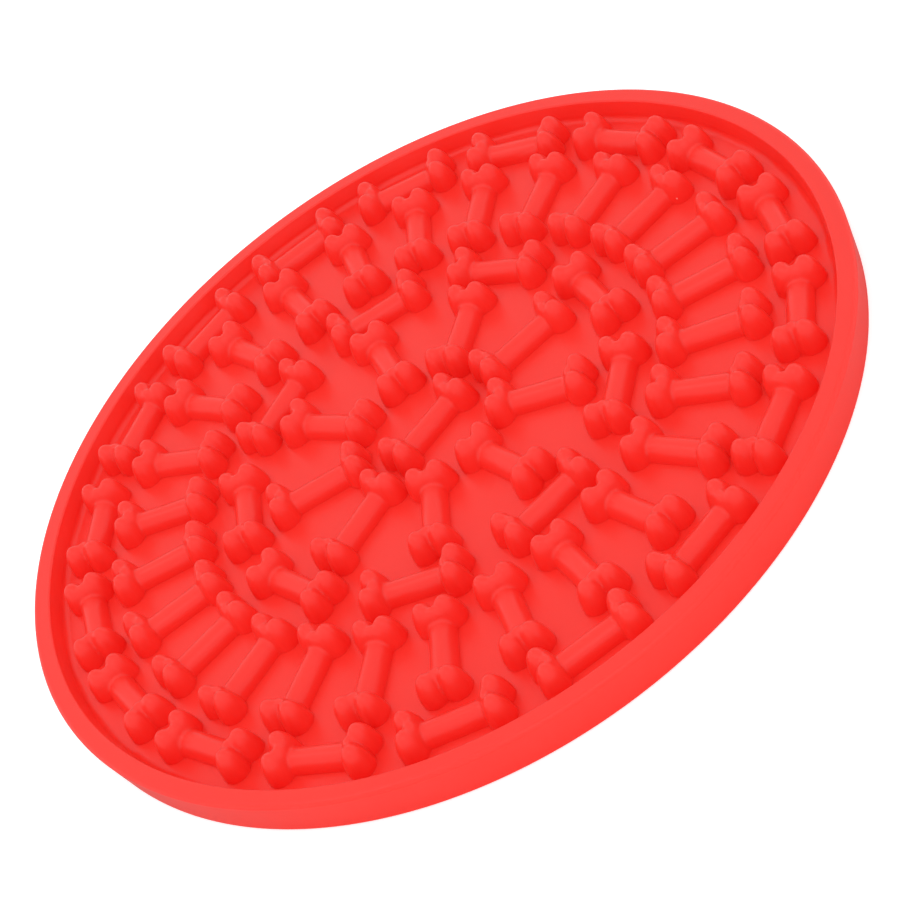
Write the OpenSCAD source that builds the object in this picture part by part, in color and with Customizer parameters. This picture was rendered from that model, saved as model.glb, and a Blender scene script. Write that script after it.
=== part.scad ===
// Round lick mat: one soft moulding with a raised rim and 63 raised bones on its floor.
// Millimetres, +Z up. The origin is the centre of the flat underside.
// The bones lie in rows, from the middle outwards: one centre bone, a ring of bones that
// point at the centre, a ring laid end to end, a wide ring that points at the centre and
// a last ring laid end to end inside the rim. Each row clears the one inside it by a named gap.

/* [Floor and rim] */
// Thickness of the floor that carries the bones
floor_t = 5; // [2.5:0.1:6]
// Height of the rim above the floor
wall_h = 4.7; // [3.5:0.1:9]
// Width of the crown of the rim
rim_w = 4.4; // [3:0.1:8]
// How far the outer wall draws in from the crown down to the table
outer_draft = 1.1; // [0:0.1:2]
// How far the inner wall draws in from the crown down to the floor
inner_draft = 0.8; // [0:0.1:2]
// Radius along the outer edge of the crown
crown_edge_r = 1; // [0.3:0.1:1.5]
// Radius along the inner edge of the crown
lip_edge_r = 0.5; // [0.2:0.1:1.2]
// Radius of the hollow corner between the floor and the rim
corner_r = 1.5; // [0.3:0.1:2]
// Radius along the bottom edge
foot_edge_r = 0.6; // [0.2:0.1:1]

/* [Bone] */
// Length between the two heads of a bone, centre to centre
bone_span = 19.1; // [16:0.1:22]
// Distance between the two lobes of a head
lobe_pitch = 5.1; // [4:0.1:5.8]
// Width of a lobe where it stands on the floor
lobe_d = 6.4; // [6:0.1:7.4]
// Height of a lobe above the floor
lobe_h = 6.7; // [5.5:0.1:8.5]
// Width of the saddle that joins the two lobes to the shaft
saddle_d = 5.3; // [4:0.1:5.9]
// Height of the saddle above the floor
saddle_h = 5.6; // [4.5:0.1:6.2]
// How far the saddle lies behind the lobes, towards the shaft
saddle_set = 1.3; // [0.5:0.1:3]
// Fullness of a dome's side, where 1 is an oval and less is squarer
dome_side = 0.83; // [0.6:0.01:1]
// Slimness of a dome's upper half, where 1 is an oval and more narrows it towards its top
dome_top = 1.43; // [0.8:0.01:1.6]
// Width of the shaft at the floor
shaft_w = 6; // [4:0.1:7]
// Height of the shaft above the floor
shaft_h = 3.7; // [2.5:0.1:5]
// Height of the shaft's straight flanks, below its round top
shaft_flank_h = 1.2; // [0.5:0.1:2]
// How far each flank leans in over its height
shaft_flank_draft = 0.2; // [0.1:0.1:0.5]

/* [Rows of bones] */
// Clearance between the centre bone and the inner spokes
centre_gap = 1.7; // [0.8:0.1:4]
// Clearance between the inner spokes and the inner hoop
inner_gap = 1; // [0.3:0.1:4]
// Clearance between the inner hoop and the outer spokes
middle_gap = 1.9; // [0.3:0.1:4]
// Clearance between the outer spokes and the outer hoop
outer_gap = 1; // [0.3:0.1:4]
// Bare floor between the outer hoop and the rim
rim_gap = 0.8; // [0.3:0.1:10]
// Least clearance between neighbours in a row, which widens a row that is too full
side_gap = 0.3; // [0.2:0.1:2]
// Bones in the ring of inner spokes
inner_spoke_count = 9; // [5:1:10]
// Bones in the inner hoop
inner_hoop_count = 9; // [5:1:10]
// Bones in the ring of outer spokes
outer_spoke_count = 26; // [16:1:28]
// Bones in the outer hoop
outer_hoop_count = 18; // [10:1:19]
// Turn of the centre bone
centre_turn = 21.9; // [0:0.1:180]
// Turn of the inner spokes
inner_spoke_turn = 8.7; // [0:0.1:40]
// Turn of the inner hoop
inner_hoop_turn = 2.8; // [0:0.1:40]
// Turn of the outer spokes
outer_spoke_turn = -0.3; // [-10:0.1:10]
// Turn of the outer hoop
outer_hoop_turn = 10.2; // [0:0.1:20]

/* [Hidden] */
// Colour of the rubber
rubber_red = [0.97, 0.05, 0.04];
// Sides of a full circle, and steps in a quarter round
round_sides = 96;
dome_steps = 8;
edge_steps = 5;
shaft_steps = 8;
full_turn = 360;
quarter_turn = 90;
half_turn = 180;

lobe_r = lobe_d / 2;
saddle_r = saddle_d / 2;
half_span = bone_span / 2;
half_pitch = lobe_pitch / 2;

// Distance of the lobes at one end of a bone from the middle of its row, where the row has
// the given number of bones and the lobes clear their neighbours: along is the lobe's place
// along the row, on the side of the neighbour.
side_room = lobe_r + side_gap / 2;
function clear_r(count, along) =
    let (half_step = half_turn / count) (side_room + along * cos(half_step)) / sin(half_step);

// Radius of a row, so that it keeps a distance from the centre and clears its neighbours,
// and how far that row then reaches from the centre. The lobes are at the corners of a bone.
centre_reach = norm([half_span, half_pitch]) + lobe_r;
function spoke_row_r(near, count) =
    half_span + max(sqrt(pow(near + lobe_r, 2) - pow(half_pitch, 2)), clear_r(count, half_pitch));
function spoke_reach(row_r) = norm([row_r + half_span, half_pitch]) + lobe_r;
function hoop_row_r(near, count) =
    half_pitch + max(sqrt(pow(near + lobe_r, 2) - pow(half_span, 2)), clear_r(count, half_span));
function hoop_reach(row_r) = norm([row_r + half_pitch, half_span]) + lobe_r;

inner_spoke_r = spoke_row_r(centre_reach + centre_gap, inner_spoke_count);
inner_hoop_r = hoop_row_r(spoke_reach(inner_spoke_r) + inner_gap, inner_hoop_count);
outer_spoke_r = spoke_row_r(hoop_reach(inner_hoop_r) + middle_gap, outer_spoke_count);
outer_hoop_r = hoop_row_r(spoke_reach(outer_spoke_r) + outer_gap, outer_hoop_count);

// Height of the rim, and radii of the floor and of the rim's walls from the middle outwards
rim_h = floor_t + wall_h;
floor_r = hoop_reach(outer_hoop_r) + rim_gap;
wall_foot_r = floor_r + corner_r;
crown_inner_r = wall_foot_r + inner_draft;
mat_r = crown_inner_r + rim_w;
base_r = mat_r - outer_draft;

// Outer spokes stand in pairs, so that the nodes stay within sixty
spokes_per_pair = 2;
outer_pair_count = ceil(outer_spoke_count / spokes_per_pair);

function inner_spoke_name(k) = str("inner_spoke_", k + 1);
function inner_hoop_name(k) = str("inner_hoop_", k + 1);
function outer_pair_name(k) = str("outer_spoke_pair_", k + 1);
function outer_hoop_name(k) = str("outer_hoop_", k + 1);

// Points of an arc about (x, z), from one angle to another
function arc_points(x, z, r, from, to, steps) =
    [for (i = [0 : steps]) let (a = from + (to - from) * i / steps) [x + r * cos(a), z + r * sin(a)]];

// Half outline of a dome that stands steep on the floor and narrows to a round top
function dome_outline(r, h) = concat(
    [[0, 0]],
    [for (i = [0 : dome_steps]) let (a = quarter_turn * i / dome_steps)
        [r * pow(cos(a), dome_side), h * pow(sin(a), dome_top)]]
);

module dome(r, h) {
    rotate_extrude($fn = round_sides)
        polygon(dome_outline(r, h));
}

// Cross-section of the shaft: two flanks that lean in and a round top
module shaft_outline() {
    foot = shaft_w / 2;
    shoulder = foot - shaft_flank_draft;
    top_h = shaft_h - shaft_flank_h;
    polygon(concat(
        [[-foot, 0], [foot, 0]],
        [for (i = [0 : shaft_steps]) let (a = half_turn * i / shaft_steps)
            [shoulder * cos(a), shaft_flank_h + top_h * sin(a)]]
    ));
}

module shaft() {
    translate([-half_span, 0, 0])
        rotate([quarter_turn, 0, quarter_turn])
            linear_extrude(height = bone_span)
                shaft_outline();
}

// One head: two lobes side by side and the saddle behind them
module head() {
    for (side = [-1, 1])
        translate([half_span, side * half_pitch, 0])
            dome(lobe_r, lobe_h);
    translate([half_span - saddle_set, 0, 0])
        dome(saddle_r, saddle_h);
}

module bone() {
    color(rubber_red)
        union() {
            head();
            mirror([1, 0, 0]) head();
            shaft();
        }
}

// A bone on the floor, at a place in a ring, turned to point at the centre or along the ring
module placed_bone(row_r, turn, own_turn) {
    rotate([0, 0, turn])
        translate([row_r, 0, floor_t])
            rotate([0, 0, own_turn])
                bone();
}

module floor_disc() {
    color(rubber_red)
        cylinder(h = floor_t, r = floor_r, $fn = round_sides);
}

module rim() {
    color(rubber_red)
        rotate_extrude($fn = round_sides)
            polygon(concat(
                [[floor_r, 0]],
                arc_points(base_r - foot_edge_r, foot_edge_r, foot_edge_r, -quarter_turn, 0, edge_steps),
                arc_points(mat_r - crown_edge_r, rim_h - crown_edge_r, crown_edge_r, 0, quarter_turn, edge_steps),
                arc_points(crown_inner_r + lip_edge_r, rim_h - lip_edge_r, lip_edge_r,
                    quarter_turn, half_turn, edge_steps),
                arc_points(wall_foot_r - corner_r, floor_t + corner_r, corner_r, 0, -quarter_turn, edge_steps)
            ));
}

module centre_bone() {
    placed_bone(0, centre_turn, 0);
}

module inner_spoke(k) {
    placed_bone(inner_spoke_r, inner_spoke_turn + k * full_turn / inner_spoke_count, 0);
}

module inner_hoop(k) {
    placed_bone(inner_hoop_r, inner_hoop_turn + k * full_turn / inner_hoop_count, quarter_turn);
}

module outer_spoke(k) {
    placed_bone(outer_spoke_r, outer_spoke_turn + k * full_turn / outer_spoke_count, 0);
}

module outer_spoke_pair(k) {
    first = k * spokes_per_pair;
    last = min(first + spokes_per_pair, outer_spoke_count) - 1;
    for (i = [first : last])
        outer_spoke(i);
}

module outer_hoop(k) {
    placed_bone(outer_hoop_r, outer_hoop_turn + k * full_turn / outer_hoop_count, quarter_turn);
}

floor_disc();  // floor
rim();
centre_bone();
for (k = [0 : inner_spoke_count - 1])
    inner_spoke(k);
for (k = [0 : inner_hoop_count - 1])
    inner_hoop(k);
for (k = [0 : outer_pair_count - 1])
    outer_spoke_pair(k);
for (k = [0 : outer_hoop_count - 1])
    outer_hoop(k);
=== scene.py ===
import math

import bmesh
import bpy
import numpy as np
from mathutils import Matrix, Vector


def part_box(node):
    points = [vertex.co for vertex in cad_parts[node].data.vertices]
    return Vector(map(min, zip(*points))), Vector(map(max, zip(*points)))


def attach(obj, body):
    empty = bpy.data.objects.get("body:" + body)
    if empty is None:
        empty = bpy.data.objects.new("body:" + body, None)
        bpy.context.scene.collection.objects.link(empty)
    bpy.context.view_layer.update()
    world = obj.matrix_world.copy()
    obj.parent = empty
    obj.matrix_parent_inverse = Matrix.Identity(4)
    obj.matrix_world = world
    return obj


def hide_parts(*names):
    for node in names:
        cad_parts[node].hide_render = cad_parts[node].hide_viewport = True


# Round lick mat of red silicone rubber, laid on a white table.
# The floor and the rim are one turned piece, and each row of bones is one piece.

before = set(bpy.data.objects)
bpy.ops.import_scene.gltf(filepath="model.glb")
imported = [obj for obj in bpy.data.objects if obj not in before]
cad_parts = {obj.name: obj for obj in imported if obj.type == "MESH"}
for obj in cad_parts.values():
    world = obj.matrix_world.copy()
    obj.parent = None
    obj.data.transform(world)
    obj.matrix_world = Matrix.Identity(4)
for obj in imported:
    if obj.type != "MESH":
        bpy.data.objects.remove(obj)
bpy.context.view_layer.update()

# Lengths are in metres and angles in radians
MM = 0.001
FULL_TURN = 2 * math.pi
HALF_TURN = FULL_TURN / 2
QUARTER_TURN = FULL_TURN / 4

# Edges of the rim
OUTER_DRAFT = 1.1 * MM
INNER_DRAFT = 0.8 * MM
CROWN_EDGE_R = 1.0 * MM
LIP_EDGE_R = 0.5 * MM
CORNER_R = 1.5 * MM
FOOT_EDGE_R = 0.6 * MM

# One bone, lying along X with its foot on the floor. Its lobes are a little taller than in the CAD.
BONE_SPAN = 19.1 * MM
LOBE_PITCH = 5.1 * MM
LOBE_D = 6.3 * MM
LOBE_STRETCH = 1.03
SADDLE_L = 4.4 * MM
SADDLE_W = 5.2 * MM
SADDLE_H = 6.2 * MM
SADDLE_SET = 1.3 * MM
DOME_SIDE = 0.9
DOME_TOP = 1.2
SHAFT_W = 6.1 * MM
SHAFT_H = 3.8 * MM
SHAFT_SIDE = 1.0
SHAFT_TOP = 0.97
LOBE_BLEND = 0.4 * MM
SADDLE_BLEND = 1.2 * MM
SHAFT_BLEND = 0.45 * MM
ROOT_DEPTH = 0.3 * MM

# Rows of bones. Outer spokes stand in the CAD as pairs, and a bone this near the middle is the centre bone.
CENTRE_TURN = math.radians(21.9)
CENTRE_REACH = 1.0 * MM
INNER_SPOKES = 9
INNER_HOOP = 9
OUTER_SPOKE_PAIRS = 13
OUTER_HOOP = 18

# Mesh of the turned piece: a run longer than this gets supports near its ends
TURNED_SIDES = 360
ARC_STEPS = 10
SUPPORT_INSET = 0.05 * MM
LONG_RUN = 8 * SUPPORT_INSET

# Mesh of the bone: a grid of cells with a margin round the bone
BONE_CELL = 0.46 * MM
SIDE_MARGIN = 3 * BONE_CELL
TOP_MARGIN = 2 * BONE_CELL
ROOT_MARGIN = 2.5 * BONE_CELL

# How a vertex is pulled onto the skin: rounds, how far in cells, and the steps in a cell that
# measure the slope
PULL_ROUNDS = 8
PULL_REACH = 0.7
SLOPE_STEPS = 50
LEAST_SLOPE_SQUARED = 0.05
LEAST_OVAL_SLOPE = 0.1 / MM

# Camera: the viewing angle of the photograph, with the mat leaning up to the right
CAMERA_AZIMUTH = math.radians(0.38)
CAMERA_ELEVATION = math.radians(37.63)
CAMERA_ROLL = math.radians(-36.67)
CAMERA_AIM = Vector((0.66, -8.44, 4.4)) * MM
CAMERA_DISTANCE = 577.9 * MM
CAMERA_LENS = 108.0
CAMERA_SENSOR = 36.0

# Rubber: its red where it is deeper and lighter, dust on it, and how it takes light
DEEP_RED = (0.93, 0.031, 0.022, 1)
LIGHT_RED = (0.97, 0.038, 0.027, 1)
DUST = (1.0, 0.35, 0.3, 1)
GRAIN_STRENGTH = 0.25
GRAIN_HEIGHT = 0.03 * MM
RUBBER = {
    "IOR": 1.42,
    "Specular IOR Level": 0.42,
    "Subsurface Weight": 0.2,
    "Subsurface Radius": (1.0, 0.12, 0.06),
    "Subsurface Scale": 1.5 * MM,
}

# Table: how white it is, how much less in its mirror image, how much more as bounce light, and its glow
TABLE_REACH = 3.0
TABLE_DROP = 0.02 * MM
TABLE_WHITE = 0.88
MIRROR_LOSS = 0.46
BOUNCE_GAIN = 0.24
CAMERA_GLOW = 0.5

# Light tent: the way to its dimmer patch on the far side, and how bright it is at each place
TENT_PATCH = (0.1, 0.78, 0.6)
TENT_LEVELS = [(0.78, 1.03), (0.9, 0.93), (1.0, 0.83)]

floor_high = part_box("floor")[1]
rim_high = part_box("rim")[1]
bone_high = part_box("centre_bone")[1]
FLOOR_R = floor_high.x
FLOOR_TOP = floor_high.z
MAT_R = rim_high.x
RIM_TOP = rim_high.z
LOBE_H = (bone_high.z - FLOOR_TOP) * LOBE_STRETCH


# Meshes

def piece_from_mesh(mesh, name, material, nodes):
    """Finish a piece that rides on the mat and stands for its CAD nodes."""
    mesh.name = name
    piece = bpy.data.objects.new(name, mesh)
    bpy.context.scene.collection.objects.link(piece)
    mesh.materials.clear()
    mesh.materials.append(material)
    mesh.shade_smooth()
    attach(piece, "root")
    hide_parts(*nodes)


def arc(centre, radius, start, end):
    """Points of an arc in the profile plane, angles in quarter turns."""
    angles = [QUARTER_TURN * (start + (end - start) * i / ARC_STEPS) for i in range(ARC_STEPS + 1)]
    return [(centre[0] + radius * math.cos(a), centre[1] + radius * math.sin(a)) for a in angles]


def with_supports(profile):
    """The profile with extra points near both ends of each long run, which keep its shading flat."""
    out = [profile[0]]
    for a, b in zip(profile, profile[1:]):
        run = math.dist(a, b)
        if run > LONG_RUN:
            step = ((b[0] - a[0]) / run * SUPPORT_INSET, (b[1] - a[1]) / run * SUPPORT_INSET)
            out.append((a[0] + step[0], a[1] + step[1]))
            out.append((b[0] - step[0], b[1] - step[1]))
        out.append(b)
    return out


def turned(profile):
    """A closed turned form. The profile runs from the axis to the axis, underside first."""
    angles = [FULL_TURN * i / TURNED_SIDES for i in range(TURNED_SIDES)]
    bm = bmesh.new()
    rings = []
    for radius, height in profile:
        if radius == 0:
            points = [(0, 0, height)]
        else:
            points = [(radius * math.cos(a), radius * math.sin(a), height) for a in angles]
        rings.append([bm.verts.new(point) for point in points])
    for lower, upper in zip(rings, rings[1:]):
        for i in range(TURNED_SIDES):
            j = (i + 1) % TURNED_SIDES
            corner_places = ((lower, i), (lower, j), (upper, j), (upper, i))
            corners = [ring[k % len(ring)] for ring, k in corner_places]
            bm.faces.new(list(dict.fromkeys(corners)))
    mesh = bpy.data.meshes.new("turned")
    bm.to_mesh(mesh)
    bm.free()
    return mesh


def mat_profile():
    """Half outline of floor and rim, from the middle of the underside to the middle of the floor."""
    wall_foot_r = FLOOR_R + CORNER_R
    crown_inner_r = wall_foot_r + INNER_DRAFT
    base_r = MAT_R - OUTER_DRAFT
    foot = arc((base_r - FOOT_EDGE_R, FOOT_EDGE_R), FOOT_EDGE_R, -1, 0)
    crown = arc((MAT_R - CROWN_EDGE_R, RIM_TOP - CROWN_EDGE_R), CROWN_EDGE_R, 0, 1)
    lip = arc((crown_inner_r + LIP_EDGE_R, RIM_TOP - LIP_EDGE_R), LIP_EDGE_R, 1, 2)
    corner = arc((wall_foot_r - CORNER_R, FLOOR_TOP + CORNER_R), CORNER_R, 0, -1)
    return with_supports([(0, 0), *foot, *crown, *lip, *corner, (0, FLOOR_TOP)])


def merged(a, b, blend):
    """Two distance fields joined, with a hollow fillet of about this size along the crease."""
    near = np.maximum(blend - np.abs(a - b), 0) / blend
    return np.minimum(a, b) - near * near * blend / 4


def oval(across, up, width, height, side, top):
    """Rough distance from an oval form that stands on the floor, negative inside."""
    side_power = 2 / side
    top_power = 2 / top
    across = across / width
    up = np.maximum(up, 0) / height
    level = across ** side_power + up ** top_power - 1
    slope = np.hypot(
        side_power * across ** (side_power - 1) / width,
        top_power * up ** (top_power - 1) / height,
    )
    return level / np.maximum(slope, LEAST_OVAL_SLOPE)


def bone_distance(x, y, z):
    """Rough distance from the skin of a bone, negative inside."""

    def dome(across, width, height):
        return oval(across, z, width / 2, height, DOME_SIDE, DOME_TOP)

    x = np.abs(x)
    y = np.abs(y)
    half_span = BONE_SPAN / 2
    saddle_x = half_span - SADDLE_SET
    lobe = dome(np.hypot(x - half_span, y - LOBE_PITCH / 2), LOBE_D, LOBE_H)
    mirrored = dome(np.hypot(x - half_span, y + LOBE_PITCH / 2), LOBE_D, LOBE_H)
    saddle = dome(np.hypot((x - saddle_x) * SADDLE_W / SADDLE_L, y), SADDLE_W, SADDLE_H)
    shaft = np.maximum(oval(y, z, SHAFT_W / 2, SHAFT_H, SHAFT_SIDE, SHAFT_TOP), x - half_span)
    head = merged(merged(lobe, mirrored, LOBE_BLEND), saddle, SADDLE_BLEND)
    return merged(head, shaft, SHAFT_BLEND)


def pulled_onto_skin(distance, points, cell):
    """The points moved to where the distance is zero, none of them by as much as a cell."""
    low = points - PULL_REACH * cell
    high = points + PULL_REACH * cell
    step = cell / SLOPE_STEPS
    for _ in range(PULL_ROUNDS):
        slope = np.array([
            (distance(*(points + step * unit)) - distance(*(points - step * unit))) / (2 * step)
            for unit in np.eye(3)[:, :, None]
        ])
        steep = np.maximum((slope * slope).sum(0), LEAST_SLOPE_SQUARED)
        points = np.clip(points - distance(*points) * slope / steep, low, high)
    return points


def faces_round_edges(inside, number):
    """One face for each grid edge that leaves the form, between the vertices of the four cells round it."""
    counts = number.shape
    faces = []
    for axis in range(3):
        u = (axis + 1) % 3
        v = (axis + 2) % 3
        first = np.take(inside, range(counts[axis]), axis)
        second = np.take(inside, range(1, counts[axis] + 1), axis)
        for place in np.argwhere(first != second):
            if min(place[u], place[v]) < 1 or place[u] >= counts[u] or place[v] >= counts[v]:
                continue
            around = []
            for du, dv in ((-1, -1), (0, -1), (0, 0), (-1, 0)):
                cell_place = list(place)
                cell_place[u] += du
                cell_place[v] += dv
                around.append(int(number[tuple(cell_place)]))
            faces.append(around if first[tuple(place)] else around[::-1])
    return faces


def skin(distance, low, high, cell):
    """A mesh of the surface where the distance is zero, with one vertex in each cell that it crosses."""
    axes = [np.arange(a, b + cell, cell) for a, b in zip(low, high)]
    inside = distance(*np.meshgrid(*axes, indexing="ij")) < 0
    counts = [len(a) - 1 for a in axes]
    corners_inside = sum(
        inside[i : i + counts[0], j : j + counts[1], k : k + counts[2]].astype(int)
        for i in (0, 1) for j in (0, 1) for k in (0, 1)
    )
    crossed = (corners_inside > 0) & (corners_inside < 8)
    number = np.full(crossed.shape, -1)
    number[crossed] = np.arange(crossed.sum())
    cells = np.argwhere(crossed)
    middles = np.array([axes[n][cells[:, n]] + cell / 2 for n in range(3)])
    points = pulled_onto_skin(distance, middles, cell)
    mesh = bpy.data.meshes.new("skin")
    mesh.from_pydata(points.T.tolist(), [], faces_round_edges(inside, number))
    return mesh


def bone_mesh():
    """One bone on the floor plane, closed below by a flat root that is sunk into the floor."""
    reach_x = (BONE_SPAN + LOBE_D) / 2 + SIDE_MARGIN
    reach_y = (LOBE_PITCH + LOBE_D) / 2 + SIDE_MARGIN
    low = (-reach_x, -reach_y, -ROOT_DEPTH - ROOT_MARGIN)
    high = (reach_x, reach_y, LOBE_H + TOP_MARGIN)
    mesh = skin(bone_distance, low, high, BONE_CELL)
    bm = bmesh.new()
    bm.from_mesh(mesh)
    everything = [*bm.verts, *bm.edges, *bm.faces]
    cut = bmesh.ops.bisect_plane(
        bm, geom=everything, plane_co=(0, 0, -ROOT_DEPTH), plane_no=(0, 0, -1), clear_outer=True
    )
    root_edges = [e for e in cut["geom_cut"] if isinstance(e, bmesh.types.BMEdge)]
    bmesh.ops.holes_fill(bm, edges=root_edges, sides=0)
    bm.to_mesh(mesh)
    bm.free()
    return mesh


# Nodes

def maths(tree, operation, *values):
    """One Math node. A value is a number or a socket."""
    node = tree.nodes.new("ShaderNodeMath")
    node.operation = operation
    for socket, value in zip(node.inputs, values):
        if isinstance(value, (int, float)):
            socket.default_value = value
        else:
            tree.links.new(value, socket)
    return node.outputs[0]


def noise(tree, vector, scale, detail):
    """A noise value between 0 and 1, at the scale that a socket gives."""
    node = tree.nodes.new("ShaderNodeTexNoise")
    node.inputs["Detail"].default_value = detail
    tree.links.new(vector, node.inputs["Vector"])
    tree.links.new(scale, node.inputs["Scale"])
    return node.outputs[0]


def colour_mix(tree, factor, a, b):
    """A colour between two colour sockets."""
    node = tree.nodes.new("ShaderNodeMix")
    node.data_type = "RGBA"
    tree.links.new(factor, node.inputs["Factor"])
    tree.links.new(a, node.inputs["A"])
    tree.links.new(b, node.inputs["B"])
    return node.outputs["Result"]


def new_group(name, inputs, outputs):
    """An empty shader group with named sockets, and its input and output sockets."""
    tree = bpy.data.node_groups.new(name, "ShaderNodeTree")
    for label, kind, value in inputs:
        socket = tree.interface.new_socket(label, in_out="INPUT", socket_type="NodeSocket" + kind)
        socket.default_value = value
    for label, kind in outputs:
        tree.interface.new_socket(label, in_out="OUTPUT", socket_type="NodeSocket" + kind)
    return tree, tree.nodes.new("NodeGroupInput").outputs, tree.nodes.new("NodeGroupOutput").inputs


def placed_group(tree, group, **values):
    """A group placed in a material, with its own values."""
    node = tree.nodes.new("ShaderNodeGroup")
    node.node_tree = group
    for label, value in values.items():
        socket = node.inputs[label.replace("_", " ")]
        if isinstance(value, bpy.types.NodeSocket):
            tree.links.new(value, socket)
        else:
            socket.default_value = value
    return node


# Rows of bones

def bone_row_tree():
    """A tree that sets its mesh out in a ring, each copy turned with its place in the ring."""
    tree = bpy.data.node_groups.new("bone_row", "GeometryNodeTree")
    inputs = {
        "Bone": "Geometry",
        "Count": "Int",
        "Row Radius": "Float",
        "First Turn": "Float",
        "Own Turn": "Float",
        "Floor Height": "Float",
        "Rubber": "Material",
    }
    for label, kind in inputs.items():
        tree.interface.new_socket(label, in_out="INPUT", socket_type="NodeSocket" + kind)
    tree.interface.new_socket("Row", in_out="OUTPUT", socket_type="NodeSocketGeometry")
    link = tree.links.new
    given = tree.nodes.new("NodeGroupInput").outputs
    index = tree.nodes.new("GeometryNodeInputIndex").outputs[0]
    step = maths(tree, "DIVIDE", FULL_TURN, given["Count"])
    turn = maths(tree, "ADD", given["First Turn"], maths(tree, "MULTIPLY", index, step))
    place = tree.nodes.new("ShaderNodeCombineXYZ")
    link(maths(tree, "MULTIPLY", given["Row Radius"], maths(tree, "COSINE", turn)), place.inputs["X"])
    link(maths(tree, "MULTIPLY", given["Row Radius"], maths(tree, "SINE", turn)), place.inputs["Y"])
    link(given["Floor Height"], place.inputs["Z"])
    points = tree.nodes.new("GeometryNodePoints")
    link(given["Count"], points.inputs["Count"])
    link(place.outputs[0], points.inputs["Position"])
    facing = tree.nodes.new("ShaderNodeCombineXYZ")
    link(maths(tree, "ADD", turn, given["Own Turn"]), facing.inputs["Z"])
    copies = tree.nodes.new("GeometryNodeInstanceOnPoints")
    link(points.outputs[0], copies.inputs["Points"])
    link(given["Bone"], copies.inputs["Instance"])
    link(facing.outputs[0], copies.inputs["Rotation"])
    real = tree.nodes.new("GeometryNodeRealizeInstances")
    link(copies.outputs[0], real.inputs[0])
    coloured = tree.nodes.new("GeometryNodeSetMaterial")
    link(real.outputs[0], coloured.inputs["Geometry"])
    link(given["Rubber"], coloured.inputs["Material"])
    link(coloured.outputs[0], tree.nodes.new("NodeGroupOutput").inputs["Row"])
    return tree


def socket_key(tree, name):
    """The identifier that a modifier calls one of its tree's inputs by."""
    sockets = tree.interface.items_tree
    return next(s.identifier for s in sockets if s.name == name and s.in_out == "INPUT")


def first_bone_place(node, in_pairs):
    """Radius and turn of the first bone of a row. Its two ends are alike, so its box's middle is its own.
    Where the node holds a pair, the bone with the smaller turn comes first."""
    points = np.array([v.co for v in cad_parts[node].data.vertices])
    if in_pairs:
        middle = points.mean(0)
        turns = np.arctan2(points[:, 1], points[:, 0]) - math.atan2(middle[1], middle[0])
        turns = (turns + HALF_TURN) % FULL_TURN - HALF_TURN
        points = points[turns < (turns.min() + turns.max()) / 2]
    centre = (points.min(0) + points.max(0)) / 2
    radius = math.hypot(centre[0], centre[1])
    return (radius, math.atan2(centre[1], centre[0])) if radius > CENTRE_REACH else (0.0, 0.0)


def bone_row(name, bone, tree, material, nodes, count, own_turn, in_pairs=False):
    """Make one row of bones as a plain mesh."""
    radius, turn = first_bone_place(nodes[0], in_pairs)
    maker = bpy.data.objects.new("maker", bone)
    bpy.context.scene.collection.objects.link(maker)
    modifier = maker.modifiers.new("row", "NODES")
    modifier.node_group = tree
    values = {
        "Count": count,
        "Row Radius": radius,
        "First Turn": turn,
        "Own Turn": own_turn,
        "Floor Height": FLOOR_TOP,
        "Rubber": material,
    }
    for label, value in values.items():
        modifier[socket_key(tree, label)] = value
    evaluated = maker.evaluated_get(bpy.context.evaluated_depsgraph_get())
    mesh = bpy.data.meshes.new_from_object(evaluated)
    bpy.data.objects.remove(maker)
    piece_from_mesh(mesh, name, material, nodes)


# Finish

def moulded_skin_group():
    """Height and roughness of a moulded skin: fine grain, slow waves, and patches that differ in gloss."""
    tree, given, made = new_group(
        "moulded_skin",
        [
            ("Vector", "Vector", (0, 0, 0)),
            ("Grain Scale", "Float", 2600.0),
            ("Wave Scale", "Float", 260.0),
            ("Wave Share", "Float", 0.5),
            ("Gloss Scale", "Float", 90.0),
            ("Roughness", "Float", 0.35),
            ("Gloss Drift", "Float", 0.1),
        ],
        [("Height", "Float"), ("Roughness", "Float")],
    )
    place = given["Vector"]
    grain = noise(tree, place, given["Grain Scale"], detail=2.0)
    wave = maths(tree, "MULTIPLY", noise(tree, place, given["Wave Scale"], detail=1.0), given["Wave Share"])
    tree.links.new(maths(tree, "ADD", grain, wave), made["Height"])
    # Noise lies about a half, so this patch lies about zero
    patch = maths(tree, "SUBTRACT", noise(tree, place, given["Gloss Scale"], detail=4.0), 0.5)
    drift = maths(tree, "MULTIPLY", patch, given["Gloss Drift"])
    tree.links.new(maths(tree, "ADD", given["Roughness"], drift), made["Roughness"])
    return tree


def specks_group():
    """Mask of sparse round specks, such as dust that a rubber skin picks up."""
    tree, given, made = new_group(
        "specks",
        [
            ("Vector", "Vector", (0, 0, 0)),
            ("Scale", "Float", 150.0),
            ("Size", "Float", 0.03),
            ("Share", "Float", 0.1),
        ],
        [("Mask", "Float")],
    )
    cells = tree.nodes.new("ShaderNodeTexVoronoi")
    tree.links.new(given["Vector"], cells.inputs["Vector"])
    tree.links.new(given["Scale"], cells.inputs["Scale"])
    chance = tree.nodes.new("ShaderNodeSeparateColor")
    tree.links.new(cells.outputs["Color"], chance.inputs[0])
    size = maths(tree, "MULTIPLY", given["Size"], chance.outputs[1])
    close = maths(tree, "LESS_THAN", cells.outputs["Distance"], size)
    chosen = maths(tree, "LESS_THAN", chance.outputs[0], given["Share"])
    tree.links.new(maths(tree, "MULTIPLY", close, chosen), made["Mask"])
    return tree


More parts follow.
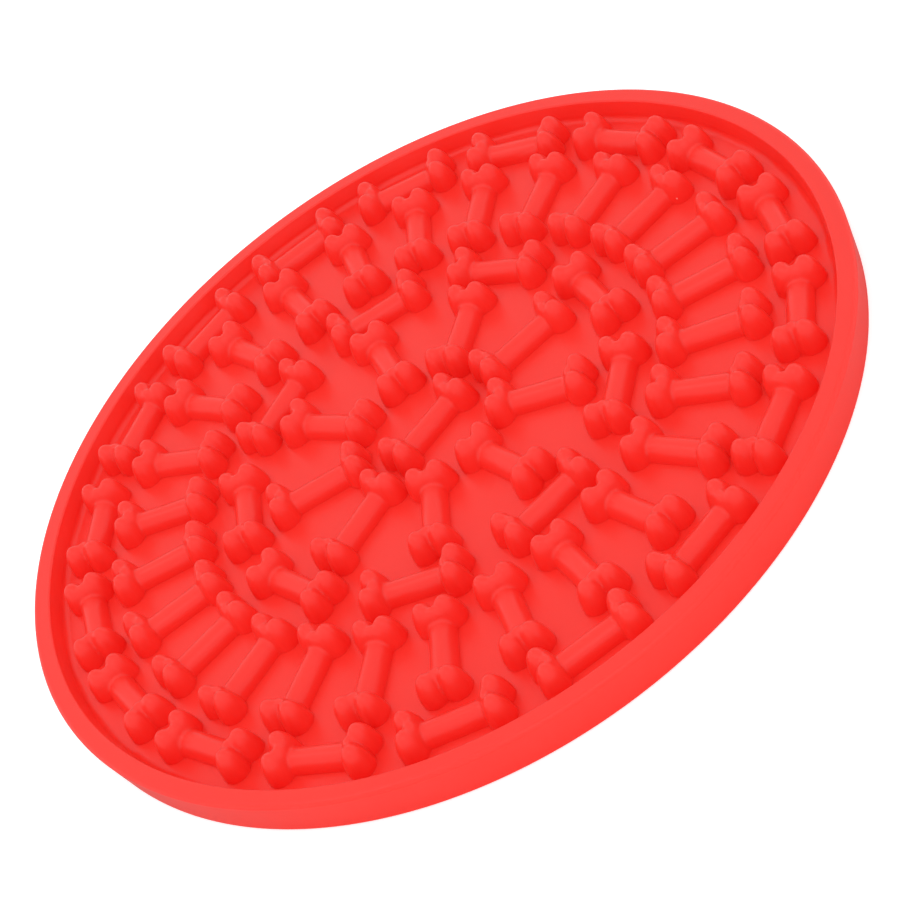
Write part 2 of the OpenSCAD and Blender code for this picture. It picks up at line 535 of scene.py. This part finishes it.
def pigment_group():
    """Colour of a pigmented rubber that is a little uneven, with pale specks where the mask says."""
    tree, given, made = new_group(
        "pigment",
        [
            ("Vector", "Vector", (0, 0, 0)),
            ("Deep", "Color", (0.5, 0.0, 0.0, 1)),
            ("Light", "Color", (1.0, 0.1, 0.1, 1)),
            ("Speck", "Color", (1.0, 1.0, 1.0, 1)),
            ("Scale", "Float", 40.0),
            ("Specks", "Float", 0.0),
        ],
        [("Color", "Color")],
    )
    cloud = noise(tree, given["Vector"], given["Scale"], detail=3.0)
    body = colour_mix(tree, cloud, given["Deep"], given["Light"])
    tree.links.new(colour_mix(tree, given["Specks"], body, given["Speck"]), made["Color"])
    return tree


def red_silicone():
    """Satin red silicone rubber, straight from a polished mould."""
    material = bpy.data.materials.new("red_silicone")
    material.use_nodes = True
    tree = material.node_tree
    shader = tree.nodes["Principled BSDF"]
    place = tree.nodes.new("ShaderNodeTexCoord").outputs["Object"]
    specks = placed_group(tree, specks_group(), Vector=place, Scale=150.0, Size=0.035, Share=0.1)
    pigment = placed_group(
        tree,
        pigment_group(),
        Vector=place,
        Deep=DEEP_RED,
        Light=LIGHT_RED,
        Speck=DUST,
        Scale=40.0,
        Specks=specks.outputs["Mask"],
    )
    surface = placed_group(tree, moulded_skin_group(), Vector=place, Roughness=0.33, Gloss_Drift=0.1)
    bump = tree.nodes.new("ShaderNodeBump")
    bump.inputs["Strength"].default_value = GRAIN_STRENGTH
    bump.inputs["Distance"].default_value = GRAIN_HEIGHT
    tree.links.new(surface.outputs["Height"], bump.inputs["Height"])
    tree.links.new(pigment.outputs["Color"], shader.inputs["Base Color"])
    tree.links.new(surface.outputs["Roughness"], shader.inputs["Roughness"])
    tree.links.new(bump.outputs["Normal"], shader.inputs["Normal"])
    for label, value in RUBBER.items():
        shader.inputs[label].default_value = value
    return material


# Stage

def white_table():
    """A white table top that shows as plain white to the camera and still takes the mat's shadow.
    It is duller where the rubber mirrors it, and brighter where it lights the mat's wall from below."""
    mesh = bpy.data.meshes.new("table")
    corners = [(TABLE_REACH * x, TABLE_REACH * y, 0) for x, y in ((-1, -1), (1, -1), (1, 1), (-1, 1))]
    mesh.from_pydata(corners, [], [(0, 1, 2, 3)])
    table = bpy.data.objects.new("table", mesh)
    bpy.context.scene.collection.objects.link(table)
    table.location.z = -TABLE_DROP
    material = bpy.data.materials.new("table_white")
    material.use_nodes = True
    tree = material.node_tree
    tree.nodes.clear()
    path = tree.nodes.new("ShaderNodeLightPath").outputs
    mirrored = maths(tree, "MULTIPLY", path["Is Glossy Ray"], MIRROR_LOSS)
    bounced = maths(tree, "MULTIPLY", path["Is Diffuse Ray"], BOUNCE_GAIN)
    white = maths(tree, "ADD", maths(tree, "SUBTRACT", TABLE_WHITE, mirrored), bounced)
    matt = tree.nodes.new("ShaderNodeBsdfDiffuse")
    tree.links.new(white, matt.inputs["Color"])
    glow = tree.nodes.new("ShaderNodeEmission")
    tree.links.new(maths(tree, "MULTIPLY", path["Is Camera Ray"], CAMERA_GLOW), glow.inputs["Strength"])
    both = tree.nodes.new("ShaderNodeAddShader")
    tree.links.new(matt.outputs[0], both.inputs[0])
    tree.links.new(glow.outputs[0], both.inputs[1])
    output = tree.nodes.new("ShaderNodeOutputMaterial")
    tree.links.new(both.outputs[0], output.inputs["Surface"])
    mesh.materials.append(material)


def softbox(name, place, size, power):
    """A rectangular lamp that faces the middle of the mat."""
    lamp = bpy.data.lights.new(name, "AREA")
    lamp.shape = "RECTANGLE"
    lamp.size = size[0]
    lamp.size_y = size[1]
    lamp.energy = power
    box = bpy.data.objects.new(name, lamp)
    box.location = place
    box.rotation_euler = (-Vector(place)).to_track_quat("-Z", "Y").to_euler()
    bpy.context.scene.collection.objects.link(box)


def white_surroundings():
    """White all round, as in a light tent with one dimmer patch. The camera sees it as plain white.
    A direction's place is 0 straight away from the patch, 0.5 square to it and 1 straight at it."""
    world = bpy.data.worlds.new("light_tent")
    bpy.context.scene.world = world
    world.use_nodes = True
    tree = world.node_tree
    sky = tree.nodes["Background"]
    sky.inputs["Color"].default_value = (1, 1, 1, 1)
    around = tree.nodes.new("ShaderNodeVectorMath")
    around.operation = "DOT_PRODUCT"
    tree.links.new(tree.nodes.new("ShaderNodeTexCoord").outputs["Generated"], around.inputs[0])
    around.inputs[1].default_value = Vector(TENT_PATCH).normalized() / 2
    ramp = tree.nodes.new("ShaderNodeValToRGB")
    tree.links.new(maths(tree, "ADD", around.outputs["Value"], 0.5), ramp.inputs[0])
    while len(ramp.color_ramp.elements) < len(TENT_LEVELS):
        ramp.color_ramp.elements.new(0.5)
    for stop, (place, level) in zip(ramp.color_ramp.elements, TENT_LEVELS):
        stop.position = place
        stop.color = (level, level, level, 1)
    path = tree.nodes.new("ShaderNodeLightPath").outputs
    seen = maths(tree, "MAXIMUM", path["Is Camera Ray"], path["Is Transmission Ray"])
    tree.links.new(maths(tree, "MAXIMUM", seen, ramp.outputs[0]), sky.inputs["Strength"])


def photo_camera():
    """The camera at the photograph's viewing angle."""
    flat = math.cos(CAMERA_ELEVATION)
    back = Vector((
        math.sin(CAMERA_AZIMUTH) * flat,
        -math.cos(CAMERA_AZIMUTH) * flat,
        math.sin(CAMERA_ELEVATION),
    ))
    lens = bpy.data.cameras.new("camera")
    lens.lens = CAMERA_LENS
    lens.sensor_width = CAMERA_SENSOR
    camera = bpy.data.objects.new("camera", lens)
    level = back.to_track_quat("Z", "Y").to_matrix().to_4x4()
    roll = Matrix.Rotation(CAMERA_ROLL, 4, "Z")
    camera.matrix_world = Matrix.Translation(CAMERA_AIM + back * CAMERA_DISTANCE) @ level @ roll
    bpy.context.scene.collection.objects.link(camera)
    bpy.context.scene.camera = camera


def numbered(stem, count):
    """Node names that end in 1, 2 and so on."""
    return [f"{stem}_{k + 1}" for k in range(count)]


def main():
    silicone = red_silicone()
    piece_from_mesh(turned(mat_profile()), "mat_body", silicone, ["floor", "rim"])
    bone = bone_mesh()
    tree = bone_row_tree()
    inner_spokes = numbered("inner_spoke", INNER_SPOKES)
    inner_hoop = numbered("inner_hoop", INNER_HOOP)
    outer_pairs = numbered("outer_spoke_pair", OUTER_SPOKE_PAIRS)
    outer_hoop = numbered("outer_hoop", OUTER_HOOP)
    bone_row("centre_bone_skin", bone, tree, silicone, ["centre_bone"], 1, CENTRE_TURN)
    bone_row("inner_spoke_bones", bone, tree, silicone, inner_spokes, INNER_SPOKES, 0)
    bone_row("inner_hoop_bones", bone, tree, silicone, inner_hoop, INNER_HOOP, QUARTER_TURN)
    bone_row(
        "outer_spoke_bones", bone, tree, silicone, outer_pairs, 2 * OUTER_SPOKE_PAIRS, 0, in_pairs=True
    )
    bone_row("outer_hoop_bones", bone, tree, silicone, outer_hoop, OUTER_HOOP, QUARTER_TURN)
    white_table()
    white_surroundings()
    softbox("side_lamp", place=(-0.3, 0.12, 0.62), size=(0.08, 0.08), power=0.18)
    softbox("front_lamp", place=(-0.05, -0.45, 0.66), size=(0.5, 0.2), power=0.4)
    photo_camera()
    bpy.context.scene.view_settings.view_transform = "Standard"


main()
